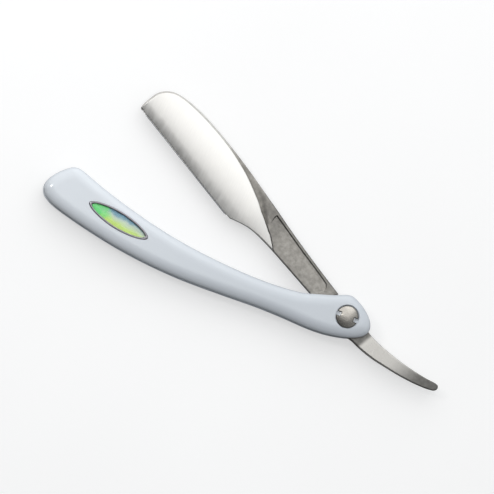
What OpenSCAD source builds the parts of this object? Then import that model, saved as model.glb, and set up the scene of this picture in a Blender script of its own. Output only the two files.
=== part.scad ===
// Folding straight razor with a replaceable blade and a squeeze-to-open clamping head.
// The razor lies on its back side: the pivot axis is the Z axis and Z = 0 is the resting plane.
// The handle runs to -X, the tail to +X, and the blade unit stands open on the +Y side.

/* [Pose] */
// Angle between the blade unit and the handle, as the razor lies open
open_angle = 26.8; // [0:0.1:180]

/* [Handle] */
// Thickness of the whole handle, both scales and the gap
handle_t = 11; // [10.8:0.1:12]
// Thickness of one scale
scale_t = 2.8; // [2.6:0.1:2.8]
// Width of the rounding along a scale's outer edge
round_w = 2.5; // [1:0.1:2.6]
// Height of the rounding along a scale's outer edge
round_h = 2.2; // [0.8:0.1:2.4]
// Distance from the pivot to the front of the end spacer
spacer_reach = 124; // [123:0.5:128]
// How far the end spacer sits inside the scales' outline
spacer_inset = 0.5; // [0.2:0.1:2]
// Diameter of the dowels and of the stop pin's ends
dowel_d = 2.4; // [1.6:0.1:2.8]
// Depth of the blind holes that hold the pins
dowel_depth = 1.4; // [0.6:0.1:1.8]

/* [Pivot] */
// Diameter of the domed screw head
head_d = 9.2; // [8:0.1:10]
// Width of the open ring around the screw head
head_gap = 0.45; // [0.2:0.05:0.6]
// Depth of the counterbore under the screw head
head_seat = 1.2; // [1:0.1:1.4]
// Height of the dome above the head's rim
dome_h = 0.9; // [0.5:0.1:1.2]
// Width of the two spanner notches in the head's rim
notch_w = 1.8; // [1:0.1:2]
// Turn of the notches away from the handle's axis
notch_turn = 0; // [0:1:180]
// Diameter of the barrel nut's sleeve
barrel_d = 5; // [4.5:0.1:5.4]
// Diameter of the screw's shank
shank_d = 3; // [2.5:0.1:3.2]
// Diameter of the barrel nut's flat flange
flange_d = 8.4; // [7:0.1:9]
// Outer diameter of the two washers beside the tang
washer_d = 11; // [9:0.5:12]
// Outer diameter of the brass bush in the tang
bush_d = 7; // [6.4:0.1:8]

/* [Blade unit] */
// Thickness of the tang and of the two leaves together
pack_t = 4.16; // [4:0.02:4.16]
// Thickness of one leaf of the shank
leaf_t = 1.7; // [1.4:0.05:1.75]
// Distance from the pivot to the roots of the leaves
root_s = 9.5; // [9:0.1:10]
// Thickness of the closed head at its crown
crown_t = 3.6; // [3.2:0.1:3.7]
// Radius of the head's rounded faces
crown_r = 53; // [50:1:80]
// Thickness of the tail's rounded end
tail_end_t = 3; // [2.4:0.1:4]
// Depth of the sloping panel sunk in the front leaf, at the spine side
panel_depth = 0.45; // [0.1:0.05:0.6]
// Spacing of the guard teeth along the cutting edge
tooth_pitch = 1.2; // [1:0.1:2]
// Depth of the guard teeth
tooth_depth = 0.3; // [0.1:0.05:0.5]

/* [Razor blade] */
// Length of the replaceable blade
blade_l = 52; // [45:0.5:53]
// Width of the blade from back to cutting edge
blade_w = 7.2; // [6:0.1:8]
// Thickness of the blade
blade_t = 0.25; // [0.2:0.01:0.3]

/* [Badge] */
// Length of the pointed-oval badge
badge_l = 28.2; // [20:0.1:30]
// Width of the badge
badge_w = 7.4; // [5:0.1:8]
// Width of the badge's metal rim
bezel_w = 0.65; // [0.4:0.05:1]
// Depth of the badge's pocket in the scale
badge_seat = 0.8; // [0.5:0.1:1]

/* [Hidden] */
$fn = 96;

play = 0.05;                            // radial clearance of running fits
snug = 0.02;                            // clearance of parts that stay put
mid_z = handle_t / 2;                   // middle plane of the razor
gap_lo = scale_t;                       // inner face of the back scale
gap_hi = handle_t - scale_t;            // inner face of the front scale
pack_lo = mid_z - pack_t / 2;           // rear face of the shank and tang
pack_hi = mid_z + pack_t / 2;           // front face of the shank and tang
seat_z = handle_t - head_seat;          // floor of the screw head's counterbore
spring_t = 0.3;                         // free height of the spring washer
under_head_z = seat_z + spring_t;       // underside of the screw head
badge_x = -102.5;                       // centre of the badge
badge_y = -2.2;
badge_turn = -7.9;                      // the badge follows the handle's sweep
dowel_places = [[-128.5, 5.2], [-127.6, -3.4]];
stop_place = [-52, -7.4];

// Lengths along the blade unit, measured from the pivot towards the head
knuckle_r = leaf_t / 2;                 // rounded root of a leaf, about which it bends
tang_s = root_s - knuckle_r - play;     // head-side face of the tang
cross_start = 45;                       // the leaves start to swap sides here
cross_end = 56;                         // and lie face to face from here on
crown_start = 60;                       // full height of the head's faces
head_s = 122;                           // just past the head's tip
jaw_gap = 0.03;                         // half the slit between the closed jaws
heel = [63.4, -11.7];                   // ends of the cutting edge's guard
tip = [120.2, -10.95];
edge_turn = atan((tip.y - heel.y) / (tip.x - heel.x));
slot_s = 65;                            // closed end of the blade slot
slot_depth = 7.1;                       // depth of the slot from the guard
slot_gap = blade_t / 2 + 0.05;          // half the height of the slot
panel_from = 14.5;                      // ends of the sunk panel
panel_to = 50.7;

// ---- Curves ----

function blend(a, b, c, d, u) =
    0.5 * (2 * b + (c - a) * u + (2 * a - 5 * b + 4 * c - d) * u * u
    + (3 * b - a - 3 * c + d) * u * u * u);

// Smooth closed curve through the points
function loop_curve(p, n) = let(m = len(p))
    [for (i = [0:m - 1], k = [0:n - 1])
        blend(p[(i + m - 1) % m], p[i], p[(i + 1) % m], p[(i + 2) % m], k / n)];

// Smooth open curve through the points
function open_curve(p, n) = let(m = len(p))
    [for (i = [0:m - 2], k = [0:i == m - 2 ? n : n - 1])
        blend(p[max(i - 1, 0)], p[i], p[i + 1], p[min(i + 2, m - 1)], k / n)];

// Closed curve moved inwards by d; the points run counter-clockwise
function inset_curve(p, d) = let(m = len(p))
    [for (i = [0:m - 1]) let(
        t = p[(i + 1) % m] - p[(i + m - 1) % m],
        n = [-t.y, t.x] / norm(t)) p[i] + d * n];

// Soft step from 0 to 1
function soft(u) = let(v = min(max(u, 0), 1)) v * v * (3 - 2 * v);

// ---- Outlines ----

// Side view of the handle: its upper and its lower edge, both from the nose to the far end
handle_upper = [
    [9.4, 2.5], [5.7, 5.8], [1.2, 8.2], [-2.5, 8.9], [-8, 6.5], [-14, 4.2], [-22, 1.6],
    [-35, -0.1], [-50, -0.6], [-68, 0], [-84, 1.7], [-99, 4.4], [-112, 7.4], [-121, 10],
    [-125.8, 11.1], [-129.3, 10], [-134, 5.1]];
handle_lower = [
    [9.6, -4.2], [6, -6.7], [1.5, -8.4], [-4, -9.7], [-9, -10.4], [-15, -10.7], [-24, -10.7],
    [-36, -11.1], [-51, -12.3], [-68, -13.4], [-83, -13.4], [-98, -12.4], [-112, -10.5],
    [-122, -8.7], [-127, -7.6], [-131.3, -6.3], [-135, -4]];
handle_points = concat([[10.8, -1]], handle_upper, [[-136.4, 0]],
    [for (i = [len(handle_lower) - 1:-1:0]) handle_lower[i]]);
handle_curve = loop_curve(handle_points, 3);

// Spine of the blade unit, from the root of the leaves to the tip
spine_points = [
    [root_s, 3.6], [24, 4.1], [40, 5], [56, 6.4], [72, 7.7], [88, 8.2], [100, 7.9], [108, 7],
    [113, 5.9], [117, 4.3], [119.9, 1.6], [121.4, -1.6], [121.6, -5.6], [121.4, -9.4],
    [120.9, -10.6]];
// Spine-side rim of the front jaw, from the crossing to the tip
rim_points = [
    [56, 0.2], [60, 1.9], [64, 3.1], [68, 4.3], [72, 5.4], [76, 6.2], [82, 7], [90, 7.4],
    [100, 7.1], [108, 6.2], [113, 5.1], [116.6, 3.6], [119.2, 1.1], [120.7, -1.9],
    [121, -5.6], [121, -9.2], [120.7, -10.5]];
// Underside of the shank and neck, from the heel to the root
neck_points = [
    [62.2, -11.3], [58, -9.2], [54, -7.7], [50, -6.8], [46, -6.3], [42, -6], [34, -5.7],
    [24, -5.4], [root_s, -5]];
// Line along which the two leaves pass each other
cross_points = [[46.3, -2.8], [49, -1.9], [52, -0.9], [54, -0.3], [56, 0.2]];

// Guard teeth along the cutting edge, from the tip back to the station s
function guard_teeth(s) = let(n = floor((tip.x - s) / tooth_pitch))
    [for (i = [0:n - 1], k = [0, 1]) let(back = (i + k / 2) * tooth_pitch)
        tip - [back, back * tan(edge_turn) - k * tooth_depth]];

// Outline of the leaf that carries the front jaw and lies at the back of the shank
front_jaw_outline = concat(
    open_curve([[root_s, 3.6], [24, 4.1], [32, 4.5], [36.5, 4], [40, 2.2], [43, -0.6],
        [46.3, -2.8]], 4),
    [for (p = open_curve(cross_points, 2)) p - [0, 0.15]],
    open_curve(rim_points, 3),
    guard_teeth(heel.x),
    open_curve(neck_points, 3));

// Outline of the leaf that carries the back jaw and lies at the front of the shank
back_jaw_outline = concat(
    open_curve(spine_points, 3),
    guard_teeth(66),
    open_curve([[65.4, -11.3], [63.2, -9.2], [60.8, -5.4], [58.6, -1.6], [56.4, 0.5]], 4),
    [for (i = [len(cross_points) - 1:-1:0]) cross_points[i] + [0, 0.15]],
    open_curve([[44.2, -3.8], [41.8, -5.1], [40, -5.9], [34, -5.7], [24, -5.4], [root_s, -5]], 3));

// Tang and tail, from the spine side of the tang's head-side face round the tail
tang_outline = open_curve([
    [tang_s, 3.7], [5, 5.2], [0, 6.2], [-5.6, 4.4], [-10, 3.2], [-16, 3.4], [-22, 4.4],
    [-28, 5.7], [-34, 7.4], [-40, 9.5], [-44.2, 11.3], [-45.9, 11.5], [-46.7, 10.5],
    [-46.5, 9.2], [-45.3, 8.1], [-42.6, 6.4], [-38, 4.1], [-32, 1.6], [-26, -0.5],
    [-20, -2.4], [-14, -3.6], [-9, -4], [-4, -5.6], [0, -6.2], [5, -5.9], [tang_s, -5.1]], 4);

// Pointed oval with half-length a and half-width b
function pointed_oval(a, b) =
    [for (w = [0:6:354]) [a * cos(w), b * sin(w) * (0.8 + 0.2 * pow(sin(w), 2))]];

// ---- Helpers ----

// Turns the blade unit's own frame, x towards the head and y towards the spine, into place
module in_blade_frame() {
    rotate([0, 0, -open_angle])
        mirror([1, 0, 0])
            children();
}

// Puts x along the cutting edge and y into the head, with the origin at the slot's closed end
module in_slot_frame() {
    translate([slot_s, heel.y + (slot_s - heel.x) * tan(edge_turn), mid_z])
        rotate([0, 0, edge_turn])
            children();
}

module at_badge() {
    translate([badge_x, badge_y, handle_t - badge_seat])
        rotate([0, 0, badge_turn])
            children();
}

// A scale lying on its inner face, with its outer edge rounded
module scale_blank() {
    rings = concat([[0, 0]],
        [for (a = [0:18:90]) [round_w * (1 - cos(a)), scale_t - round_h + round_h * sin(a)]]);
    m = len(handle_curve);
    n = len(rings);
    points = [for (r = rings) for (p = inset_curve(handle_curve, r[0])) [p.x, p.y, r[1]]];
    sides = [for (j = [0:n - 2], i = [0:m - 1])
        [j * m + i, (j + 1) * m + i, (j + 1) * m + (i + 1) % m, j * m + (i + 1) % m]];
    // Both flat faces are ladders of rungs between the upper and the lower edge
    rungs = concat([[0, 1, m - 1]], [for (i = [1:m / 2 - 2]) [i, i + 1, m - i - 1, m - i]],
        [[m / 2 - 1, m / 2, m / 2 + 1]]);
    top = [for (r = rungs) [for (k = [len(r) - 1:-1:0]) (n - 1) * m + r[k]]];
    polyhedron(points, concat(rungs, top, sides));
}

// Blind holes for the dowels and the stop pin, in both scales
module pin_holes() {
    for (p = concat(dowel_places, [stop_place]))
        translate([p.x, p.y, gap_lo - dowel_depth])
            cylinder(d = dowel_d + 2 * snug, h = gap_hi - gap_lo + 2 * dowel_depth);
}

// Solid ring standing on z
module tube(outer_d, inner_d, z, h) {
    translate([0, 0, z])
        difference() {
            cylinder(d = outer_d, h = h);
            translate([0, 0, -1])
                cylinder(d = inner_d, h = h + 2);
        }
}

// Two notches in the rim of a screw head or flange
module spanner_notches(rim_d, z, h) {
    rotate([0, 0, notch_turn])
        for (side = [-1, 1])
            translate([side * (rim_d / 2 - notch_w / 4), 0, z + h / 2])
                cube([notch_w * 1.5, notch_w, h], center = true);
}

// Slab seen from the side: points run along the shank and up
module side_slab(points) {
    rotate([90, 0, 0])
        linear_extrude(60, center = true)
            polygon(points);
}

// Height profile of the front jaw's leaf, from the back of the shank to the front of the head
function leaf_low(s) =
    pack_lo + (mid_z + jaw_gap - pack_lo) * soft((s - cross_start) / (cross_end - cross_start));
function leaf_high(s) =
    pack_lo + leaf_t + (crown_t / 2 + pack_t / 2 - leaf_t)
    * soft((s - cross_start) / (crown_start - cross_start));
leaf_stations = [for (s = [cross_start:1.25:crown_start]) s];
leaf_side = concat(
    [[root_s, pack_lo]],
    [for (s = leaf_stations) [s, leaf_low(s)]],
    [[head_s, mid_z + jaw_gap], [head_s, mid_z + crown_t]],
    [[crown_start + 1, mid_z + crown_t]],
    [for (i = [len(leaf_stations) - 1:-1:0])
        [leaf_stations[i], leaf_high(leaf_stations[i])]],
    [[root_s, pack_lo + leaf_t]]);

// One leaf with its jaw: plan outline, side profile, rounded face, blade slot and root knuckle
module jaw_leaf(outline) {
    root_low = outline[len(outline) - 1].y;
    root_high = outline[0].y;
    difference() {
        intersection() {
            linear_extrude(handle_t)
                polygon(outline);
            side_slab(leaf_side);
            translate([0, 0, mid_z + crown_t / 2 - crown_r])
                rotate([0, 90, 0])
                    cylinder(r = crown_r, h = head_s + 1, $fn = 720);
        }
        in_slot_frame()
            translate([0, -2, -slot_gap])
                cube([head_s, slot_depth + 2, 2 * slot_gap]);
    }
    translate([root_s, root_high, pack_lo + knuckle_r])
        rotate([90, 0, 0])
            cylinder(r = knuckle_r, h = root_high - root_low);
}

// ---- Handle ----

module front_scale() {
    color("lavender")
        difference() {
            translate([0, 0, gap_hi])
                scale_blank();
            translate([0, 0, gap_hi - 1])
                cylinder(d = barrel_d + 2 * play, h = scale_t + 2);
            translate([0, 0, seat_z])
                cylinder(d = head_d + 2 * head_gap, h = head_seat + 1);
            pin_holes();
            at_badge()
                linear_extrude(badge_seat + 1)
                    polygon(pointed_oval(badge_l / 2 + snug, badge_w / 2 + snug));
        }
}

module back_scale() {
    color("lavender")
        difference() {
            translate([0, 0, gap_lo])
                mirror([0, 0, 1])
                    scale_blank();
            translate([0, 0, -1])
                cylinder(d = barrel_d + 2 * play, h = scale_t + 2);
            translate([0, 0, -1])
                cylinder(d = flange_d + 2 * play, h = 2);
            pin_holes();
        }
}

module end_spacer() {
    color("gainsboro")
        difference() {
            translate([0, 0, gap_lo])
                linear_extrude(gap_hi - gap_lo)
                    polygon(inset_curve(handle_curve, spacer_inset));
            cylinder(r = spacer_reach, h = handle_t, $fn = 180);
            pin_holes();
        }
}

module spacer_dowels() {
    color("silver")
        for (p = dowel_places)
            translate([p.x, p.y, gap_lo - dowel_depth + snug])
                cylinder(d = dowel_d, h = gap_hi - gap_lo + 2 * (dowel_depth - snug));
}

module stop_pin() {
    color("silver")
        translate([stop_place.x, stop_place.y, gap_lo - dowel_depth + snug])
            cylinder(d = dowel_d, h = gap_hi - gap_lo + 2 * (dowel_depth - snug));
}

// ---- Badge ----

module badge_bezel() {
    color("gray")
        at_badge()
            difference() {
                linear_extrude(badge_seat + 0.2)
                    polygon(pointed_oval(badge_l / 2, badge_w / 2));
                translate([0, 0, -1])
                    linear_extrude(badge_seat + 3)
                        polygon(pointed_oval(badge_l / 2 - 2 * bezel_w, badge_w / 2 - bezel_w));
            }
}

module badge_plate() {
    color("yellowgreen")
        at_badge()
            linear_extrude(badge_seat / 2)
                polygon(pointed_oval(badge_l / 2 - 2 * bezel_w - snug,
                    badge_w / 2 - bezel_w - snug));
}

module badge_dome() {
    color("palegreen")
        at_badge()
            translate([0, 0, badge_seat / 2])
                linear_extrude(badge_seat / 2 + 0.1)
                    polygon(pointed_oval(badge_l / 2 - 2 * bezel_w - snug,
                        badge_w / 2 - bezel_w - snug));
}

// ---- Pivot ----

module pivot_screw() {
    rim_h = 0.4;
    dome_r = (pow(head_d / 2, 2) + pow(dome_h, 2)) / (2 * dome_h);
    head_top = under_head_z + rim_h + dome_h;
    color("darkgray")
        union() {
            difference() {
                intersection() {
                    translate([0, 0, under_head_z])
                        cylinder(d = head_d, h = rim_h + dome_h);
                    translate([0, 0, head_top - dome_r])
                        sphere(r = dome_r, $fn = 240);
                }
                spanner_notches(head_d, under_head_z - 1, 4);
            }
            translate([0, 0, gap_lo])
                cylinder(d = shank_d, h = under_head_z - gap_lo + 0.1);
        }
}

module barrel_nut() {
    flange_h = 1 - snug;
    color("darkgray")
        difference() {
            union() {
                cylinder(d = flange_d, h = flange_h);
                cylinder(d = barrel_d, h = seat_z - snug);
            }
            translate([0, 0, gap_lo - 0.4])
                cylinder(d = shank_d + 2 * play, h = handle_t);
            spanner_notches(flange_d, -1, 3);
        }
}

module spring_washer() {
    inner = shank_d / 2 + 0.3;
    outer = shank_d / 2 + 1.8;
    rise = 0.12;
    color("dimgray")
        translate([0, 0, seat_z + snug])
            rotate_extrude()
                polygon([[inner, rise], [outer, 0], [outer, spring_t - rise - 2 * snug],
                    [inner, spring_t - 2 * snug]]);
}

module front_washer() {
    color("goldenrod")
        tube(washer_d, barrel_d + 4 * play, pack_hi + snug, gap_hi - pack_hi - snug);
}

module back_washer() {
    color("goldenrod")
        tube(washer_d, barrel_d + 4 * play, gap_lo, pack_lo - gap_lo - snug);
}

// ---- Blade unit ----

module tang() {
    tail_half = tail_end_t / 2;
    taper_s = -14;
    end_s = -48;
    color("darkgray")
        in_blade_frame()
            difference() {
                intersection() {
                    linear_extrude(handle_t)
                        polygon(tang_outline);
                    side_slab([
                        [root_s, pack_lo], [root_s, pack_hi], [taper_s, pack_hi],
                        [end_s, mid_z + tail_half], [end_s, mid_z - tail_half],
                        [taper_s, pack_lo]]);
                }
                cylinder(d = bush_d + 2 * snug, h = handle_t);
            }
}

module tang_bush() {
    color("goldenrod")
        tube(bush_d, barrel_d + 2 * play, pack_lo, pack_t);
}

// Leaf at the back of the shank that crosses over to carry the front jaw
module front_jaw() {
    color("silver")
        in_blade_frame()
            jaw_leaf(front_jaw_outline);
}

// Leaf at the front of the shank that crosses over to carry the back jaw
module back_jaw() {
    panel_low = -3.6;
    panel_w = 6;
    tilt = atan(panel_depth / (panel_w + 0.4));
    color("darkgray")
        in_blade_frame()
            difference() {
                translate([0, 0, handle_t])
                    mirror([0, 0, 1])
                        jaw_leaf(back_jaw_outline);
                translate([0, panel_low, pack_hi])
                    rotate([-tilt, 0, 0])
                        linear_extrude(2)
                            polygon(concat(
                                [[panel_from + 4, 0], [panel_to - 4, 0]],
                                open_curve([[panel_to - 1, 4], [panel_to, 7.6], [panel_to - 2, 7.9],
                                    [34, 6.9], [panel_from + 4, 6.1], [panel_from + 1, 5.4],
                                    [panel_from, 3.6], [panel_from + 1, 1.4]], 4)));
            }
}

module razor_blade() {
    grind = 0.8;
    back = slot_depth - 0.1;
    color("lightsteelblue")
        in_blade_frame()
            in_slot_frame()
                translate([0.1, 0, 0])
                    rotate([90, 0, 90])
                        linear_extrude(blade_l)
                            polygon([[back, -blade_t / 2], [back, blade_t / 2],
                                [back - blade_w + grind, blade_t / 2], [back - blade_w, 0],
                                [back - blade_w + grind, -blade_t / 2]]);
}

front_scale();
back_scale();
end_spacer();
spacer_dowels();
stop_pin();
badge_bezel();
badge_plate();
badge_dome();
pivot_screw();
barrel_nut();
spring_washer();
front_washer();
back_washer();
tang();
tang_bush();
front_jaw();
back_jaw();
razor_blade();
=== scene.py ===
"""Looks of the folding straight razor: smooth outer meshes, procedural materials, studio and camera.

Lengths are millimetres in the razor's own frame until a mesh is made, and metres from there on.
The blade unit's own frame has s from the pivot towards the head and t towards the spine.
"""

import math

import bpy
import numpy as np
from mathutils import Matrix, Vector
from mathutils.geometry import delaunay_2d_cdt


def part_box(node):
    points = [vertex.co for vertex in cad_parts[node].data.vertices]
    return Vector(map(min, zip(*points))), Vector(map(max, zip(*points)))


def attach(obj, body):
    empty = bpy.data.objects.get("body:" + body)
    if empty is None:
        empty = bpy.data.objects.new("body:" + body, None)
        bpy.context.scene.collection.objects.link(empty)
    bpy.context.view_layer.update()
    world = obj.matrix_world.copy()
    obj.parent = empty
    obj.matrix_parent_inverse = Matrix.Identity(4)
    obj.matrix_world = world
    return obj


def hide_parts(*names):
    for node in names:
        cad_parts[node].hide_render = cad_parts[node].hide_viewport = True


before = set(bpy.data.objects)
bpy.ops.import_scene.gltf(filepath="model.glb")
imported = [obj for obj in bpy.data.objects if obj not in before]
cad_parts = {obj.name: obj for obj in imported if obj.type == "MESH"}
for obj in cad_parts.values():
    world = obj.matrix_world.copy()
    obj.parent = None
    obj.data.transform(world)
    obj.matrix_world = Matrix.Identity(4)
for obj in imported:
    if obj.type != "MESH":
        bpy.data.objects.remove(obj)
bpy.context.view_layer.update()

MM = 0.001
OPEN_ANGLE = math.radians(26.8)  # of the blade unit to the handle, at rest


def heights(node):
    """Lowest and highest z of a CAD node, in millimetres."""
    low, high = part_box(node)
    return low[2] / MM, high[2] / MM


GAP_LO = heights("back_scale")[1]
GAP_HI, HANDLE_T = heights("front_scale")
PACK_LO, PACK_HI = heights("tang")
MID_Z = HANDLE_T / 2
CROWN = heights("front_jaw")[1] - MID_Z  # half the closed head's thickness
HEAD_TOP = heights("pivot_screw")[1]


# -------- camera and light

VIEW_WIDTH = 204.1  # seen across the frame, at the height of the shank
FOCAL = 480.0
SENSOR = 36.0
NEAREST_SEEN, FURTHEST_SEEN = 0.05, 20.0
TILT = math.radians(7.0)  # of the camera from straight above
LEAN = Vector((-0.363, -0.932, 0.0))  # the side towards which it leans
VIEW_UP = Vector((-0.4019, 0.9157, 0.0))
TARGET = Vector((-49.4, 9.9, 7.0))

BRIGHT_SIDE = Vector((0.451, 0.893, 0.0))  # the softboxes stand on the spine's side
HEAD_SIDE = Vector((-0.893, 0.451, 0.0))  # along the shank towards the head
LIGHTS = (("softbox_above", (0.3, 0.19, 0.5), (1.05, 0.56), 2.0),  # name, place, size and power
          ("softbox_side", (0.25, 0.6, 0.42), (0.7, 0.4), 1.0),
          ("lamp_far_end", (0.29, -0.09, 0.45), (0.07, 0.07), 0.34))
ROOM_DARK, ROOM_BRIGHT = 0.04, 0.66
ROOM_EDGE = 0.9  # a direction's share towards the bright side where the room is brightest
ROOM_COLOUR = (0.95, 0.98, 1.0)
FLOOR_SIZE, FLOOR_Z = 6, -0.0003
FLOOR_GLOW = 0.55  # lifts the paper to near white in the picture only
BOUNCE = 0.36  # what the floor sends back to the razor
WHITE, BLACK = (1, 1, 1), (0, 0, 0)


def new_object(name, data):
    made = bpy.data.objects.new(name, data)
    bpy.context.scene.collection.objects.link(made)
    return made


def facing(x, y, z, place):
    """Matrix that puts an object at a place, with these unit vectors as its axes."""
    return Matrix((
        (x.x, y.x, z.x, place.x),
        (x.y, y.y, z.y, place.y),
        (x.z, y.z, z.z, place.z),
        (0, 0, 0, 1)))


def make_camera():
    data = bpy.data.cameras.new("camera")
    data.lens = FOCAL
    data.sensor_width = SENSOR
    data.clip_start = NEAREST_SEEN
    data.clip_end = FURTHEST_SEEN
    camera = new_object("camera", data)
    back = (Vector((0, 0, 1)) * math.cos(TILT) + LEAN.normalized() * math.sin(TILT)).normalized()
    right = VIEW_UP.cross(back).normalized()
    distance = VIEW_WIDTH * FOCAL / SENSOR
    camera.matrix_world = facing(right, back.cross(right), back, (TARGET + back * distance) * MM)
    bpy.context.scene.camera = camera


def area_light(name, place, size, power):
    """A softbox at (towards the head, towards the bright side, up) metres from the razor's middle."""
    data = bpy.data.lights.new(name, "AREA")
    data.shape = "RECTANGLE"
    data.size, data.size_y = size
    data.energy = power
    away = HEAD_SIDE * place[0] + BRIGHT_SIDE * place[1] + Vector((0, 0, place[2]))
    z = away.normalized()
    y = (BRIGHT_SIDE - z * BRIGHT_SIDE.dot(z)).normalized()
    middle = Vector((TARGET.x, TARGET.y, 0)) * MM
    new_object(name, data).matrix_world = facing(y.cross(z), y, z, middle + away)


def make_world():
    """Dim surroundings, lighter towards the bright side, and a pale backdrop behind the floor."""
    world = bpy.data.worlds.new("studio")
    bpy.context.scene.world = world
    world.use_nodes = True
    tree = world.node_tree
    tree.nodes.clear()
    where = add_node(tree, "TexCoord").outputs["Generated"]
    towards = add_node(tree, "VectorMath", {0: where, 1: tuple(BRIGHT_SIDE)}, operation="DOT_PRODUCT")
    level = spread(tree, towards.outputs["Value"], ROOM_DARK, ROOM_BRIGHT, -ROOM_EDGE, ROOM_EDGE)
    dim = add_node(tree, "Background", {"Color": ROOM_COLOUR, "Strength": level})
    pale = add_node(tree, "Background", {"Color": WHITE})
    mix = add_node(tree, "MixShader", {0: camera_ray(tree), 1: dim.outputs[0], 2: pale.outputs[0]})
    add_node(tree, "OutputWorld", {"Surface": mix.outputs[0]})


def floor_material():
    """Pale paper that bounces less light back on the razor than it shows to the camera."""
    material, tree, shader = new_material("floor_paper")
    seen = camera_ray(tree)
    grain = ramp(tree, noise(tree, 6), [(0.3, (0.5, 0.5, 0.5)), (0.7, (0.53, 0.53, 0.53))])
    feed(tree, shader, {
        "Base Color": mixed_colour(tree, seen, (BOUNCE, BOUNCE, BOUNCE), grain),
        "Roughness": 0.95, "Specular IOR Level": 0.0, "Emission Color": WHITE,
        "Emission Strength": spread(tree, seen, 0, FLOOR_GLOW, 0, 1)})
    return material


def make_studio():
    make_world()
    for light in LIGHTS:
        area_light(*light)
    middle = (TARGET.x * MM, TARGET.y * MM, FLOOR_Z)
    bpy.ops.mesh.primitive_plane_add(size=FLOOR_SIZE, location=middle)
    floor = bpy.context.active_object
    floor.name = "floor"
    floor.data.materials.append(floor_material())
    bpy.context.scene.view_settings.view_transform = "Standard"


# -------- nodes

def new_material(name):
    """A material, its node tree and its main shader."""
    material = bpy.data.materials.new(name)
    material.use_nodes = True
    return material, material.node_tree, material.node_tree.nodes["Principled BSDF"]


def feed(tree, node, inputs):
    """Links each input, by name or number, to a socket, or sets it to a number, vector or colour."""
    for key, value in inputs.items():
        socket = node.inputs[key]
        if isinstance(value, bpy.types.NodeSocket):
            tree.links.new(value, socket)
        else:
            socket.default_value = (*value, 1) if socket.type == "RGBA" else value


def add_node(tree, kind, inputs=None, **settings):
    node = tree.nodes.new("ShaderNode" + kind)
    for name, value in settings.items():
        setattr(node, name, value)
    feed(tree, node, inputs or {})
    return node


def camera_ray(tree):
    return add_node(tree, "LightPath").outputs["Is Camera Ray"]


def object_place(tree):
    return add_node(tree, "TexCoord").outputs["Object"]


def noise(tree, scale, detail=3.0, stretch=(1, 1, 1), turn=0.0):
    """Noise in object space, finer with scale (features per metre), stretched along an axis."""
    mapping = add_node(tree, "Mapping", {
        "Vector": object_place(tree), "Rotation": (0, 0, turn), "Scale": stretch})
    texture = add_node(tree, "TexNoise", {
        "Vector": mapping.outputs[0], "Scale": scale, "Detail": detail})
    return texture.outputs["Fac"]


def spread(tree, value, low, high, start=0.3, end=0.7):
    """Value from start to end, turned into a number from low to high."""
    node = add_node(tree, "MapRange", {
        "Value": value, "From Min": start, "From Max": end, "To Min": low, "To Max": high})
    return node.outputs["Result"]


def ramp(tree, value, stops):
    """Colour ramp with (place, (r, g, b)) stops."""
    node = add_node(tree, "ValToRGB", {"Fac": value})
    elements = node.color_ramp.elements
    elements[0].position, elements[0].color = stops[0][0], (*stops[0][1], 1)
    elements[1].position, elements[1].color = stops[-1][0], (*stops[-1][1], 1)
    for place, colour in stops[1:-1]:
        elements.new(place).color = (*colour, 1)
    return node.outputs["Color"]


def mixed(tree, share, first, second):
    """Number that goes from first to second with share; each is a socket or a number."""
    return add_node(tree, "Mix", {0: share, 2: first, 3: second}, data_type="FLOAT").outputs[0]


def mixed_colour(tree, share, first, second):
    """Colour that goes from first to second with share; each is a socket or a colour."""
    return add_node(tree, "Mix", {0: share, 6: first, 7: second}, data_type="RGBA").outputs[2]


def added(tree, first, second):
    return add_node(tree, "Math", {0: first, 1: second}).outputs[0]


def bump(tree, height, strength, distance):
    node = add_node(tree, "Bump", {"Height": height, "Strength": strength, "Distance": distance})
    return node.outputs["Normal"]


def polish_and_shade_of(tree):
    """The mesh's own number at each point: how polished it is, with painted shade below 0, or painted
    shade on the screw head.
    """
    return add_node(tree, "Attribute", attribute_name="polish_and_shade").outputs["Fac"]


def varied(tree, value, colour, darkest, lightest=1.0, end=0.7):
    """The colour, made darker or lighter by a value such as noise."""
    return ramp(tree, value, [(0.3, tuple(c * darkest for c in colour)),
                              (end, tuple(c * lightest for c in colour))])


# -------- materials

EDGE_SHADE_COLOUR = (0.02, 0.02, 0.02)  # painted shade along the screw head's edge and in its notches
SHADE_COLOUR = (0.03, 0.03, 0.03)  # painted shade: colour towards which blasted steel is darkened where the mesh's number is below 0
FLOW_LOW, FLOW_HIGH = (0.672, 0.715, 0.765), (0.71, 0.75, 0.8)
FAR_PAINTED_LIGHT = (0.82, 0.862, 0.91)  # painted light: the handle's colour is paler towards its far end, standing in for stronger light there
FAR_X, NEAR_X = -0.136, -0.03
BLAST_ROUGH = 0.5
BRUSH_STREAK = 9.0  # how much longer than wide brush marks are
RING_SCALE = 0.32  # of a ring texture, over the rings' pitch
FOIL_GREEN = (0.1, 0.85, 0.18)
FOIL_BAND = [(0.0, (0.66, 0.95, 0.1)), (0.34, (0.72, 0.96, 0.2)), (0.47, (0.7, 0.86, 0.52)),
             (0.6, (0.6, 0.74, 0.66)), (0.74, (0.14, 0.4, 0.56)), (1.0, (0.08, 0.24, 0.5))]


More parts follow.
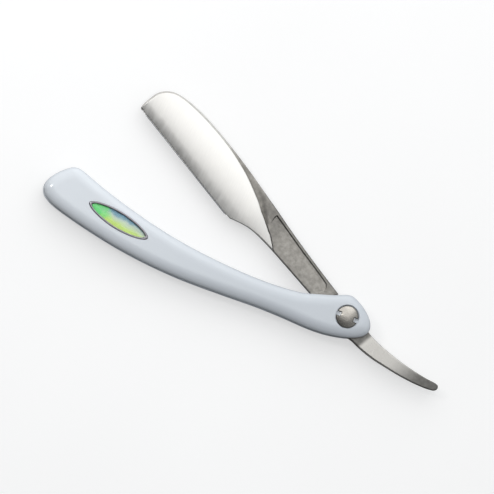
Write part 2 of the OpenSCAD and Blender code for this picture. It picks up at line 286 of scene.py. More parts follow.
def plastic_material():
    """Glossy moulded plastic, pale lavender white, with faint flow marks, a soft orange peel and painted
    light that makes it paler towards the handle's far end.
    """
    material, tree, shader = new_material("moulded_plastic")
    usual = ramp(tree, noise(tree, 28, 4.0, stretch=(0.35, 1.6, 1)), [(0.3, FLOW_LOW), (0.7, FLOW_HIGH)])
    along = add_node(tree, "SeparateXYZ", {0: object_place(tree)}).outputs["X"]
    # painted light: the colour is mixed towards FAR_PAINTED_LIGHT near the handle's far end
    far = spread(tree, along, 0.9, 0.0, FAR_X, NEAR_X)
    feed(tree, shader, {
        "Base Color": mixed_colour(tree, far, usual, FAR_PAINTED_LIGHT),
        "Roughness": spread(tree, noise(tree, 260, 5.0), 0.17, 0.27),
        "IOR": 1.49, "Coat Weight": 0.35, "Coat Roughness": 0.08,
        "Normal": bump(tree, noise(tree, 420, 2.0), 0.05, 0.0002)})
    return material


def steel_material(name, colour, rough, brush, turn, grain=0.12):
    """Steel with brush marks along one direction and a fine grain."""
    material, tree, shader = new_material(name)
    stretch = (1, BRUSH_STREAK, 1)
    marks = noise(tree, brush, 4.0, stretch, turn)
    feed(tree, shader, {
        "Base Color": varied(tree, marks, colour, 0.9, end=0.72),
        "Metallic": 1.0,
        "Roughness": spread(tree, marks, rough * 0.85, rough * 1.2),
        "Normal": bump(tree, noise(tree, brush * 2.2, 5.0, stretch, turn), grain, 0.00012)})
    return material


def blade_unit_material(name, polish_colour, blast_colour, polish_rough):
    """Steel that is satin polished where the mesh's number is 1, bead blasted where it is 0, and
    blasted with painted shade, darker down to -1."""
    material, tree, shader = new_material(name)
    polish_and_shade = polish_and_shade_of(tree)
    marks = noise(tree, 240, 5.0, (BRUSH_STREAK, 1, 1), OPEN_ANGLE)
    pits = noise(tree, 2600)
    blotch = noise(tree, 620)
    bright = varied(tree, marks, polish_colour, 0.93)
    dull = varied(tree, blotch, blast_colour, 0.74, 1.08)
    # Painted shade: below 0 the blasted colour is mixed towards SHADE_COLOUR.
    dark = mixed_colour(tree, spread(tree, polish_and_shade, 0.4, 0.0, -1, 0), dull, SHADE_COLOUR)
    share = spread(tree, polish_and_shade, 0, 1, 0, 1)
    smooth_rough = spread(tree, marks, polish_rough * 0.85, polish_rough * 1.2)
    coarse_rough = spread(tree, pits, BLAST_ROUGH * 0.9, BLAST_ROUGH * 1.1)
    hammered = mixed(tree, 0.3, spread(tree, blotch, -0.6, 1.6), pits)
    height = mixed(tree, share, hammered, spread(tree, marks, 0.45, 0.55))
    feed(tree, shader, {
        "Base Color": mixed_colour(tree, share, dark, bright),
        "Metallic": 1.0,
        "Roughness": mixed(tree, share, coarse_rough, smooth_rough),
        "Normal": bump(tree, height, 0.16, 0.00012)})
    return material


def turned_material(name, colour, rough, pitch):
    """Turned metal: fine rings round the pivot's axis, and painted shade where the mesh's number says so.
    """
    material, tree, shader = new_material(name)
    mapping = add_node(tree, "Mapping", {"Vector": object_place(tree), "Scale": (1, 1, 0)})
    wave = add_node(tree, "TexWave", {
        "Vector": mapping.outputs[0], "Scale": RING_SCALE / pitch, "Distortion": 0.6, "Detail": 3.0},
        wave_type="RINGS", rings_direction="SPHERICAL")
    rings = wave.outputs["Fac"]
    clean = varied(tree, noise(tree, 420, 4.0), colour, 0.88)
    feed(tree, shader, {
        "Base Color": mixed_colour(tree, polish_and_shade_of(tree), clean, EDGE_SHADE_COLOUR),
        "Metallic": 1.0,
        "Roughness": spread(tree, rings, rough * 0.85, rough * 1.15, 0, 1),
        "Normal": bump(tree, rings, 0.18, 0.00004)})
    return material


def foil_material(badge):
    """Colour-shift foil: green at one end, yellow-green below, blue above, silvery in the middle."""
    material, tree, shader = new_material("colour_shift_foil")
    centre, turn, half_length, half_width = badge
    shift = add_node(tree, "Mapping", {
        "Vector": object_place(tree), "Location": (centre[0] * MM, centre[1] * MM, 0),
        "Rotation": (0, 0, turn), "Scale": (half_length * MM, half_width * MM, 1)},
        vector_type="TEXTURE")
    split = add_node(tree, "SeparateXYZ", {0: shift.outputs[0]})
    wobble = spread(tree, noise(tree, 300, 2.0), -0.12, 0.12)
    across = added(tree, split.outputs["Y"], wobble)
    along = added(tree, split.outputs["X"], wobble)
    band = ramp(tree, spread(tree, across, 0, 1, -1, 1), FOIL_BAND)
    ends = ramp(tree, spread(tree, along, 0, 1, -1, 1),
                [(0.0, WHITE), (0.22, WHITE), (0.36, BLACK), (1.0, BLACK)])
    feed(tree, shader, {
        "Base Color": mixed_colour(tree, ends, band, FOIL_GREEN),
        "Metallic": 0.35, "Roughness": 0.32, "Coat Weight": 0.6, "Coat Roughness": 0.05,
        "Normal": bump(tree, noise(tree, 3000, 2.0), 0.12, 0.00005)})
    return material


def resin_material():
    """Clear domed resin with the faintest waviness."""
    material, tree, shader = new_material("clear_resin")
    feed(tree, shader, {
        "Base Color": (0.97, 0.99, 0.97),
        "Transmission Weight": 1.0, "IOR": 1.48,
        "Roughness": spread(tree, noise(tree, 500, 2.0), 0.015, 0.05),
        "Normal": bump(tree, noise(tree, 160, 1.0), 0.04, 0.0002)})
    return material


# -------- plane curves

TINY = 1e-12  # divides in place of a length that is zero
BATCH = 1500  # points measured at a time, to save memory


def blend(a, b, c, d, u):
    """Point of a smooth curve from b to c, where a comes before them and d after."""
    return 0.5 * (2 * b + (c - a) * u + (2 * a - 5 * b + 4 * c - d) * u * u
                  + (3 * b - a - 3 * c + d) * u ** 3)


def smooth(points, n=8, closed=False):
    """Smooth curve through the points, with n steps between neighbours."""
    p = np.array(points, float)
    m = len(p)
    out = []
    for i in range(m if closed else m - 1):
        if closed:
            a, b, c, d = p[i - 1], p[i], p[(i + 1) % m], p[(i + 2) % m]
        else:
            a, b, c, d = p[max(i - 1, 0)], p[i], p[i + 1], p[min(i + 2, m - 1)]
        out += [blend(a, b, c, d, k / n) for k in range(n)]
    return np.array(out if closed else out + [p[-1]])


def evenly(points, step, closed=True):
    """The same line with a point about every step."""
    p = np.vstack([points, points[:1]]) if closed else np.array(points, float)
    run = np.r_[0, np.cumsum(np.hypot(*np.diff(p, axis=0).T))]
    keep = np.r_[True, np.diff(run) > 1e-9]
    p, run = p[keep], run[keep]
    count = max(3, round(run[-1] / step))
    at = np.linspace(0, run[-1], count + 1)
    if closed:
        at = at[:-1]
    return np.c_[np.interp(at, run, p[:, 0]), np.interp(at, run, p[:, 1])]


def open_line(points, step):
    """Smooth open curve through the points, with a point about every step."""
    return evenly(smooth(points), step, closed=False)


def circle(radius, count=96):
    a = np.linspace(0, 2 * math.pi, count, endpoint=False)
    return np.c_[radius * np.cos(a), radius * np.sin(a)]


def t_of_line(s, line):
    """Second coordinate of a line where its first is s."""
    return np.interp(s, line[:, 0], line[:, 1])


def unit(vectors):
    """The vectors made one long."""
    return vectors / np.maximum(np.linalg.norm(vectors, axis=1), TINY)[:, None]


def at_height(loop, z):
    return np.c_[loop, np.full(len(loop), z)]


def grid_points(low, high, step, stagger=0):
    """Grid between two corners, with every second row moved along by stagger."""
    gx, gy = np.meshgrid(np.arange(low[0], high[0], step), np.arange(low[1], high[1], step))
    gx = gx + (np.arange(len(gx)) % 2)[:, None] * stagger
    return np.c_[gx.ravel(), gy.ravel()]


def area_of(loop):
    x, y = loop.T
    return 0.5 * np.sum(x * np.roll(y, -1) - np.roll(x, -1) * y)


def ccw(loop):
    return loop if area_of(loop) > 0 else loop[::-1]


def inside(points, loop):
    """Which points lie inside the closed loop."""
    x, y = points[:, 0][:, None], points[:, 1][:, None]
    x0, y0 = loop.T
    x1, y1 = np.roll(loop, -1, 0).T
    with np.errstate(divide="ignore", invalid="ignore"):
        crosses = ((y0 > y) != (y1 > y)) & (x < (x1 - x0) * (y - y0) / (y1 - y0) + x0)
    return crosses.sum(1) % 2 == 1


def outward(loop):
    """Unit normal at each point of a counter-clockwise loop, pointing out of it."""
    d = np.roll(loop, -1, 0) - np.roll(loop, 1, 0)
    n = np.c_[d[:, 1], -d[:, 0]]
    return n / np.maximum(np.hypot(*n.T), TINY)[:, None]


def nearest(points, loop):
    """For each point: distance to the loop, unit direction to it, and the place along it."""
    a, b = loop, np.roll(loop, -1, 0)
    d = b - a
    l2 = np.maximum((d * d).sum(1), 1e-18)
    dist, direction, place = np.empty(len(points)), np.empty((len(points), 2)), np.empty(len(points))
    for i in range(0, len(points), BATCH):
        p = points[i:i + BATCH, None]
        u = np.clip(((p - a) * d).sum(2) / l2, 0, 1)
        r = a + u[..., None] * d - p
        all_dist = np.sqrt((r * r).sum(2))
        k = all_dist.argmin(1)
        rows = np.arange(len(k))
        near = all_dist[rows, k]
        dist[i:i + BATCH] = near
        direction[i:i + BATCH] = r[rows, k] / np.maximum(near, TINY)[:, None]
        place[i:i + BATCH] = k + u[rows, k]
    return dist, direction, place


def cad_outline(node):
    """Outer loop of a CAD node's flat face at the top of the handle's gap, in millimetres."""
    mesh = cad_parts[node].data
    edges = {}
    for polygon in mesh.polygons:
        if abs(abs(polygon.normal.z) - 1) < 1e-3 and abs(polygon.center.z / MM - GAP_HI) < 1e-3:
            keys = [tuple(round(c / MM, 4) for c in mesh.vertices[v].co[:2]) for v in polygon.vertices]
            for a, b in zip(keys, keys[1:] + keys[:1]):
                if not edges.pop((b, a), False):
                    edges[(a, b)] = True
    following = {a: b for a, b in edges}
    loops = []
    while following:
        start, here = next(iter(following.items()))
        loop = [start]
        del following[start]
        while here != start and here in following:
            loop.append(here)
            here = following.pop(here)
        loops.append(np.array(loop))
    return ccw(max(loops, key=lambda l: abs(area_of(l)) if len(l) > 2 else 0))


def soft(u):
    """0 below 0, 1 above 1, and a smooth rise between them."""
    v = np.clip(u, 0, 1)
    return v * v * (3 - 2 * v)


def rise(value, start, end):
    """Smooth rise from 0 at start to 1 at end, or fall where end is the lower of the two."""
    return soft((value - start) / (end - start))


# -------- meshes

INSET = 0.03  # keeps smooth outlines inside the CAD's faceted ones
SLOPE_STEP = 0.02  # over which a surface's slope is measured
ON_LOOP = 1e-4  # distance below which a point is taken to be on the loop
RING_ANGLES = (9, 18, 27, 36, 46, 58, 72, 90)  # where rings of points lie round a rounding
FEW_ANGLES = (30, 60, 90)
SHARP_CORNER = math.cos(math.radians(32))  # a wall's corner stays sharp if it turns more


class Edge:
    """Rounding of a surface where it meets a loop: an elliptic quarter of that width and height."""

    def __init__(self, loop, width, height=None, hole=False):
        height = width if height is None else height
        self.loop = ccw(np.array(loop, float))
        self.normals = outward(self.loop) * (-1 if hole else 1)
        self.width = np.broadcast_to(np.array(width, float), (len(self.loop),)).copy()
        self.height = np.broadcast_to(np.array(height, float), (len(self.loop),)).copy()
        self.hole = hole

    def at(self, values, place):
        """Value at a place along the loop, between those at its points."""
        k = place.astype(int) % len(self.loop)
        u = place - place.astype(int)
        return values[k] * (1 - u) + values[(k + 1) % len(self.loop)] * u

    def measure(self, points):
        """Drop of the surface at the points, and its slope as a vector towards the edge."""
        dist, direction, place = nearest(points, self.loop)
        w, h = self.at(self.width, place), self.at(self.height, place)
        u = np.clip(dist / w, 0, 1)
        drop = h * (1 - np.sqrt(np.maximum(0, 1 - (1 - u) ** 2)))
        slope = h / w * (1 - u) / np.sqrt(np.maximum(1e-8, 1 - (1 - u) ** 2))
        on_edge = dist < ON_LOOP
        if on_edge.any():
            direction = direction.copy()
            direction[on_edge] = self.normals[np.round(place[on_edge]).astype(int) % len(self.loop)]
        return drop, slope[:, None] * direction

    def rings(self, reach, angles):
        """Points on rings beside the loop, up to that reach from it."""
        found = [np.empty((0, 2))]
        for angle in angles:
            offset = self.width * (1 - math.cos(math.radians(angle)))
            ring = self.loop - self.normals * offset[:, None]
            ring = ring[offset <= reach]
            if len(ring) == 0:
                continue
            want = offset[offset <= reach]
            dist, _, _ = nearest(ring, self.loop)
            ok = (dist > want * 0.97) & (inside(ring, self.loop) != self.hole)
            found.append(ring[ok])
        return np.vstack(found)


class Surface:
    """One face of a plate, triangulated: the region inside the first edge and outside the others."""

    def __init__(self, edges, height, spacing, features=(), reach=2.5, sign=1, angles=RING_ANGLES):
        self.edges, self.height, self.sign = edges, height, sign
        extra = np.vstack([e.rings(reach, angles) for e in edges] + list(features))
        outer = edges[0].loop
        grid = grid_points(outer.min(0), outer.max(0), spacing, spacing / 2)
        grid = grid[self.contains(grid, 0.45 * spacing)]
        extra = extra[self.contains(extra, ON_LOOP)]
        grid = grid[self.apart(grid, extra, 0.55 * spacing)]
        loops = [e.loop for e in edges]
        self.points = np.vstack(loops + [extra, grid])
        self.loops, start = [], 0
        for loop in loops:
            self.loops.append(list(range(start, start + len(loop))))
            start += len(loop)
        constraints = [pair for l in self.loops for pair in zip(l, l[1:] + l[:1])]
        made = delaunay_2d_cdt([Vector(p) for p in self.points], constraints, [], 0, 1e-7)
        vertices, _, faces, origin, _, _ = made
        index = {source: i for i, sources in enumerate(origin) for source in sources}
        self.loops = [[index[i] for i in l] for l in self.loops]
        self.points = np.array([tuple(v) for v in vertices])
        triangles = np.array(faces)
        self.triangles = triangles[self.contains(self.points[triangles].mean(1), 0)]
        self.raise_points()

    def contains(self, points, margin):
        """Which points lie in the surface's region, more than the margin from its loops."""
        keep = inside(points, self.edges[0].loop)
        for e in self.edges[1:]:
            keep &= ~inside(points, e.loop)
        if margin > 0 and keep.any():
            index = np.flatnonzero(keep)
            for e in self.edges:
                dist, _, _ = nearest(points[index], e.loop)
                index = index[dist > margin]
            keep = np.zeros(len(points), bool)
            keep[index] = True
        return keep

    @staticmethod
    def apart(points, others, margin):
        """Which points lie more than the margin from all the others."""
        keep = np.ones(len(points), bool)
        for i in range(0, len(points) if len(others) else 0, BATCH):
            p = points[i:i + BATCH, None]
            keep[i:i + BATCH] = ((p - others) ** 2).sum(2).min(1) > margin * margin
        return keep

    def raise_points(self):
        """Height and unit normal at each point."""
        p = self.points
        base = self.height(p)
        rises = [self.height(p + d) - self.height(p - d) for d in np.eye(2) * SLOPE_STEP]
        gradient = np.stack(rises, 1) / (2 * SLOPE_STEP) * self.sign
        drop, slope = np.zeros(len(p)), np.zeros((len(p), 2))
        for e in self.edges:
            d, s = e.measure(p)
            drop += d
            slope += s
        self.z = base - self.sign * drop
        flat = slope - gradient
        self.normals = unit(np.c_[flat, np.ones(len(p))])
        self.normals[:, 2] *= self.sign

    def corners(self, which):
        """Points of one loop at their heights."""
        index = self.loops[which]
        return np.c_[self.points[index], self.z[index]]


def band(n, forward):
    """Faces between two loops of n points each, the second loop numbered on from the first."""
    sides = [(i, (i + 1) % n) if forward else ((i + 1) % n, i) for i in range(n)]
    return [[i, j, n + j, n + i] for i, j in sides]


class Body:
    """Points and faces of one piece, with a normal for each face corner."""

    def __init__(self):
        self.points, self.faces, self.normals = [], [], []

    def add(self, points, faces, normals):
        """Faces with their own points; normals are one per point, or one per face corner."""
        start = len(self.points)
        self.points += [tuple(p) for p in points]
        for k, face in enumerate(faces):
            self.faces.append([start + i for i in face])
            if isinstance(normals, list):
                self.normals.append(normals[k])
            else:
                self.normals.append([normals[i] for i in face])

    def add_surface(self, surface):
        points = np.c_[surface.points, surface.z]
        faces = surface.triangles if surface.sign > 0 else surface.triangles[:, ::-1]
        used = np.unique(faces)
        renumber = np.full(len(points), -1)
        renumber[used] = np.arange(len(used))
        self.add(points[used], renumber[faces].tolist(), surface.normals[used])

    def add_wall(self, low, high, outwards):
        """Band between two loops with the same count, one above the other in either order. It faces
        out of them if outwards is 1, and into them if it is -1."""
        if low[0][2] > high[0][2]:
            low, high = high, low
        n = len(low)
        step = np.roll(high[:, :2], -1, 0) - high[:, :2]
        side = unit(np.c_[step[:, 1], -step[:, 0], np.zeros(n)]) * outwards
        before = np.roll(side, 1, 0)
        mean = unit(side + before)
        sharp = (side * before).sum(1) < SHARP_CORNER
        normals = []
        for i in range(n):
            j = (i + 1) % n
            at_i = side[i] if sharp[i] else mean[i]
            at_j = side[i] if sharp[j] else mean[j]
            normals.append([at_i, at_j, at_j, at_i] if outwards > 0 else [at_j, at_i, at_i, at_j])
        self.add(np.vstack([low, high]), band(n, outwards > 0), normals)

    def add_ledge(self, outer, inner, up):
        """Flat ring between two loops with the same count, or a closed floor if inner is None."""
        normal = np.array([0, 0, 1.0 if up else -1.0])
        n = len(outer)
        if inner is None:
            face = list(range(n)) if up else list(range(n))[::-1]
            self.add(outer, [face], np.tile(normal, (n, 1)))
            return
        self.add(np.vstack([outer, inner]), band(n, up), np.tile(normal, (2 * n, 1)))

    def mesh(self, name, material, place=None, polish_and_shade=None):
        """Makes the Blender object. place maps blade-unit coordinates into the razor's frame, and
        polish_and_shade gives each point's value for how polished it is and for painted shade, before
        that."""
        points = np.array(self.points)
        normals = [list(map(tuple, n)) for n in self.normals]
        faces = self.faces
        values = polish_and_shade(points) if polish_and_shade else None
        if place:
            points = place(points)
            faces = [f[::-1] for f in faces]
            normals = [[tuple(place(np.array([n]))[0]) for n in face][::-1] for face in normals]
        piece = smooth_piece(name, points, faces, material)
        piece.data.normals_split_custom_set([n for face in normals for n in face])
        if values is not None:
            layer = piece.data.attributes.new("polish_and_shade", "FLOAT", "POINT")
            layer.data.foreach_set("value", values.astype(np.float32))
        return piece


def smooth_piece(name, points, faces, material):
    """Blender object with smooth faces, from points in millimetres."""
    mesh = bpy.data.meshes.new(name)
    mesh.from_pydata((points * MM).tolist(), [], faces)
    mesh.polygons.foreach_set("use_smooth", [True] * len(mesh.polygons))
    mesh.update()
    mesh.materials.append(material)
    return new_object(name, mesh)


def plate(top, low):
    """Body of two faces with a wall along each loop: round the outside, then in the holes."""
    body = Body()
    body.add_surface(top)
    body.add_surface(low)
    for k in range(len(low.edges)):
        body.add_wall(low.corners(k), top.corners(k), 1 if k == 0 else -1)
    return body


def place_blade(v):
    """From the blade unit's own frame (s, t, z) to the razor's frame."""
    c, s = math.cos(OPEN_ANGLE), math.sin(OPEN_ANGLE)
    return np.c_[-v[:, 0] * c + v[:, 1] * s, v[:, 0] * s + v[:, 1] * c, v[:, 2]]


def fit_out(piece, body, node):
    """The piece moves with the body and stands for the CAD node, which it hides."""
    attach(piece, body)
    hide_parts(node)


def flat(z):
    return lambda p: np.full(len(p), float(z))


# -------- handle

CROWN_W, CROWN_H = 4.9, 2.5  # the handle's rounding, over half its width
SCREW_R, SCREW_GAP = 4.65, 0.35
FLANGE_SEAT_R = 4.25
BORE_R = 2.55
SEAT_DEPTH, FLANGE_DEPTH, POCKET_DEPTH = 1.2, 1.0, 0.8
RECESS_EDGE = 0.12  # rounding at the rim of a recess
INNER_EDGE, BORE_EDGE = 0.15, 0.1
HANDLE_ANGLES = (6, 12, 18, 24, 31, 38, 46, 55, 90)
SPACER_INSET = 0.08
BADGE_COUNT = 160  # points round the badge's oval
BADGE_GAP = 0.03
RIM_WIDTH, RIM_FOOT = 0.8, 0.05  # the rim's rounding starts that far below the handle's face
INSIDE_RIM = 0.83
FOIL_EDGE, FOIL_GAP = 0.08, 0.02
RESIN_W, RESIN_H = 2.6, 0.36  # rounding of the clear dome


def badge_frame():
    """Centre, turn, half length and half width of the badge, from its CAD rim."""
    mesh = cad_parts["badge_bezel"].data
    p = np.array([v.co[:2] for v in mesh.vertices]) / MM
    centre = (p.min(0) + p.max(0)) / 2
    q = p - p.mean(0)
    axis = np.linalg.eigh(q.T @ q)[1][:, -1]
    axis = axis if axis[0] > 0 else -axis
    turn = math.atan2(axis[1], axis[0])
    along, across = (p - centre) @ axis, (p - centre) @ np.array([-axis[1], axis[0]])
    return centre, turn, np.ptp(along) / 2, np.ptp(across) / 2


def oval(badge, shrink):
    """Pointed oval of the badge, moved in by shrink."""
    centre, turn, a, b = badge
    w = np.linspace(0, 2 * math.pi, BADGE_COUNT, endpoint=False)
    p = np.c_[(a - 1.7 * shrink) * np.cos(w),
              (b - shrink) * np.sin(w) * (0.85 + 0.15 * np.sin(w) ** 2)]
    c, s = math.cos(turn), math.sin(turn)
    return p @ np.array([[c, s], [-s, c]]) + centre


def scale_shell(node, material, badge):
    """One scale: crowned outside, flat inside, with its bores and, in front, the badge's pocket."""
    front = node == "front_scale"
    outline = evenly(smooth(cad_outline("front_scale"), 6, closed=True), 0.7)
    outline = outline - outward(outline) * INSET
    face, inner = (HANDLE_T, GAP_HI) if front else (0.0, GAP_LO)
    sign = 1 if front else -1
    recess_r = SCREW_R + SCREW_GAP if front else FLANGE_SEAT_R
    recess_z = face - sign * (SEAT_DEPTH if front else FLANGE_DEPTH)
    holes = [circle(recess_r)] + ([oval(badge, -BADGE_GAP)] if front else [])
    edges = [Edge(hole, RECESS_EDGE, hole=True) for hole in holes]
    outside = Surface([Edge(outline, CROWN_W, CROWN_H)] + edges, flat(face), 0.8, reach=2.6,
                      sign=sign, angles=HANDLE_ANGLES)
    bore_edge = Edge(circle(BORE_R), BORE_EDGE, hole=True)
    inside_face = Surface([Edge(outline, INNER_EDGE), bore_edge], flat(inner), 2.5,
                          reach=1, sign=-sign, angles=FEW_ANGLES)
    body = Body()
    body.add_surface(outside)
    body.add_surface(inside_face)
    ring = at_height(circle(recess_r), recess_z)
    bore = at_height(circle(BORE_R), recess_z)
    body.add_wall(inside_face.corners(0), outside.corners(0), 1)
    body.add_wall(ring, outside.corners(1), -1)
    body.add_wall(inside_face.corners(1), bore, -1)
    if front:
        pocket = outside.corners(2)
        floor = at_height(pocket[:, :2], face - POCKET_DEPTH)
        body.add_wall(floor, pocket, -1)
        body.add_ledge(floor, None, True)
    body.add_ledge(ring, bore, front)
    fit_out(body.mesh(node + "_shell", material), "handle", node)


def spacer_block(material):
    """Block between the scales at the far end, standing back a little from their edges."""
    loop = cad_outline("end_spacer")
    loop = loop - outward(loop) * SPACER_INSET
    low, high = at_height(loop, GAP_LO), at_height(loop, GAP_HI)
    body = Body()
    body.add_wall(low, high, 1)
    body.add_ledge(high, None, True)
    body.add_ledge(low, None, False)
    fit_out(body.mesh("spacer_block", material), "handle", "end_spacer")


def badge_rim(badge, material):
    """Metal rim with a rounded top, swept round the badge's oval."""
    base_z, top_z = heights("badge_bezel")
    foot_z = HANDLE_T - RIM_FOOT
    profile = [(0.0, base_z), (0.0, foot_z)]
    for degrees in range(15, 180, 15):
        a = math.radians(degrees)
        profile.append((RIM_WIDTH / 2 - RIM_WIDTH / 2 * math.cos(a),
                        foot_z + (top_z - HANDLE_T + RIM_FOOT) * math.sin(a)))
    profile += [(RIM_WIDTH, foot_z), (RIM_WIDTH, base_z)]
    points = np.vstack([at_height(oval(badge, shrink), z) for shrink, z in profile])
    faces = []
    for k in range(len(profile)):
        a, b = k * BADGE_COUNT, (k + 1) % len(profile) * BADGE_COUNT
        for i in range(BADGE_COUNT):
            j = (i + 1) % BADGE_COUNT
            faces.append([a + i, a + j, b + j, b + i])
    fit_out(smooth_piece("badge_rim", points, faces, material), "handle", "badge_bezel")


def lens(name, badge, z, width, height, material):
    """Plate inside the badge's rim, from z[0] to z[1], with a rounded top."""
    loop = oval(badge, INSIDE_RIM)
    top = Surface([Edge(loop, width, height)], flat(z[1]), 0.6, reach=width)
    low = Surface([Edge(loop, 0.02)], flat(z[0]), 1.2, reach=0.1, sign=-1, angles=(90,))
    return plate(top, low).mesh(name, material)


def badge_pieces(badge, metal, foil, resin):
    """Rounded metal rim, foil plate and the clear dome over it."""
    badge_rim(badge, metal)
    base_z, top_z = heights("badge_plate")
    shown = lens("badge_foil", badge, (base_z, top_z - FOIL_GAP), FOIL_EDGE, FOIL_EDGE, foil)
    fit_out(shown, "handle", "badge_plate")
    dome = lens("badge_resin", badge, heights("badge_dome"), RESIN_W, RESIN_H, resin)
    fit_out(dome, "handle", "badge_dome")


# -------- pivot

NOTCH_W, NUT_NOTCH = 1.8, 1.5
SCREW_DOME, SCREW_SIDE = 0.98, 1.3  # height of the head's dome, and of the whole head
SHANK_R, SLEEVE_R, THREAD_R = 1.5, 2.5, 1.55
FLANGE_R, FLANGE_THICK = 4.2, 0.98
SCREW_EDGE, UNDER_EDGE, NUT_EDGE, NUT_INNER_EDGE = 0.16, 0.08, 0.15, 0.05
# width of the painted shade along the screw head's edge and notches
EDGE_SHADE_WIDTH = 0.34


def notched_circle(radius, inner):
    """Circle with two notches cut in from its rim, as far as inner from the centre."""
    half = NOTCH_W / 2
    points = []
    edge_angle = math.asin(half / radius)
    for side in (0, math.pi):
        points += [(radius * math.cos(a + side), radius * math.sin(a + side))
                   for a in np.linspace(edge_angle, math.pi - edge_angle, 60)]
        c, s = math.cos(side + math.pi), math.sin(side + math.pi)
        points += [(x * c + y * s, x * s - y * c) for x, y in ((inner, half), (inner, 0), (inner, -half))]
    return evenly(np.array(points), 0.16)


def screw_head(material):
    """Low dome with two spanner notches, on the screw's shank."""
    loop = notched_circle(SCREW_R, SCREW_R - NOTCH_W)
    dome_r = (SCREW_R ** 2 + SCREW_DOME ** 2) / (2 * SCREW_DOME)
    under_z = HEAD_TOP - SCREW_SIDE

    def dome(p):
        return HEAD_TOP - dome_r + np.sqrt(dome_r ** 2 - (p ** 2).sum(1))

    def edge_shade(p):
        """Painted shade along the head's edge and in its notches, where the gap round the head and the
        notch walls lie in shadow.
        """
        dist, _, _ = nearest(p[:, :2], loop)
        return 1 - rise(dist, 0, EDGE_SHADE_WIDTH)

    top = Surface([Edge(loop, SCREW_EDGE)], dome, 0.28, reach=1)
    under = Surface([Edge(loop, UNDER_EDGE)], flat(under_z), 0.6, reach=1, sign=-1,
                    angles=FEW_ANGLES)
    body = plate(top, under)
    shank = circle(SHANK_R, 48)
    bottom = at_height(shank, GAP_LO)
    body.add_wall(bottom, at_height(shank, under_z), 1)
    body.add_ledge(bottom, None, False)
    fit_out(body.mesh("screw_head", material, polish_and_shade=edge_shade), "handle", "pivot_screw")


def nut_flange(material):
    """Flat flange of the barrel nut with two spanner notches, and its sleeve."""
    loop = notched_circle(FLANGE_R, FLANGE_R - NUT_NOTCH)
    low = Surface([Edge(loop, NUT_EDGE)], flat(0.0), 0.5, reach=1, sign=-1)
    high = Surface([Edge(loop, NUT_INNER_EDGE)], flat(FLANGE_THICK), 0.8, reach=1,
                   angles=(45, 90))
    body = plate(high, low)
    top_z = heights("barrel_nut")[1]
    sleeve, bore = circle(SLEEVE_R), circle(THREAD_R)
    body.add_wall(at_height(sleeve, FLANGE_THICK), at_height(sleeve, top_z), 1)
    body.add_ledge(at_height(sleeve, top_z), at_height(bore, top_z), True)
    body.add_wall(at_height(bore, GAP_LO), at_height(bore, top_z), -1)
    fit_out(body.mesh("nut_flange", material), "handle", "barrel_nut")


# -------- blade unit

HEEL = np.array([63.4, -11.7])
TIP = np.array([120.2, -10.95])
EDGE_SLOPE = (TIP[1] - HEEL[1]) / (TIP[0] - HEEL[0])
TOOTH_PITCH, TOOTH_DEPTH = 1.2, 0.38
CROSS_START, CROSS_END, CROWN_START = 45.0, 56.0, 60.0
CROSS_GAP = 0.05
LEAF_T = 1.7
CROWN_R = 53.0
JAW_GAP = 0.03
JAW_EDGE, TOOTH_EDGE, EDGE_SHARE = 0.34, 0.14, 0.85  # a jaw's rounding, and its height over width
NECK_DROP = 0.35
PANEL_DEPTH = 0.6
SLOT_GAP = 0.175
SLOT_S, SLOT_DEPTH = 65.0, 7.1
SLOT_RIM, SLOT_STEP = 0.4, 0.3  # of the step round the slot: its place and its width
TANG_BORE_R = 3.52
TAIL_FLAT_S = -14  # the tail starts to taper there

SPINE = [(9.5, 3.6), (24, 4.1), (40, 5), (56, 6.4), (72, 7.7), (88, 8.2), (100, 7.9), (108, 7),
         (113, 5.87), (117, 4.27), (119.87, 1.58), (121.37, -1.6), (121.6, -5.6), (121.4, -9.4),
         (120.9, -10.6)]
RIM = [(56, 0.5), (60, 2.15), (64, 3.4), (68, 4.55), (72, 5.55), (76, 6.2), (82, 7), (90, 7.4),
       (100, 7.1), (108, 6.2), (113, 5.1), (116.6, 3.6), (119.2, 1.1), (120.7, -1.9),
       (121, -5.6), (121, -9.2), (120.7, -10.5)]
NECK = [(62.2, -11.3), (58, -9.2), (54, -7.7), (50, -6.8), (46, -6.3), (42, -6), (34, -5.7),
        (24, -5.4), (9.5, -5)]
CROSSING = np.array([(46.3, -2.8), (49, -1.9), (52, -0.8), (54, -0.1), (56, 0.5)])
REAR_LEAF_TOP = [(9.5, 3.6), (24, 4.1), (32, 4.5), (36.5, 4), (40, 2.2), (43, -0.6), (46.3, -2.8)]
REAR_JAW_HEEL = [(65.4, -11.3), (63.2, -9.2), (60.8, -5.4), (58.6, -1.6), (56.4, 0.5)]
FRONT_LEAF_LOW = [(44.2, -3.8), (41.8, -5.1), (40, -5.9), (34, -5.7), (24, -5.4), (9.5, -5)]
TANG = [(8.6, 3.7), (5, 5.2), (0, 6.2), (-5.6, 4.4), (-10, 3.2), (-16, 3.4), (-22, 4.4),
        (-28, 5.7), (-34, 7.4), (-40, 9.5), (-44.2, 11.3), (-45.9, 11.5), (-46.7, 10.5),
        (-46.5, 9.2), (-45.3, 8.1), (-42.6, 6.4), (-38, 4.1), (-32, 1.6), (-26, -0.5),
        (-20, -2.45), (-14, -3.75), (-9, -4.35), (-4, -5.6), (0, -6.2), (5, -5.9), (8.6, -5.1)]
PANEL_ROWS = (0.5, 0.35, 0.25, 0.15, 0.05, -0.05, -0.15, -0.25, -0.4)
PANEL = ccw(smooth([(18.5, -3.6), (46.7, -3.6), (49.7, 0.4), (50.7, 4.0), (48.7, 4.3), (34, 3.3),
                    (18.5, 2.5), (15.5, 1.8), (14.5, 0), (15.5, -2.2)], 6, closed=True))


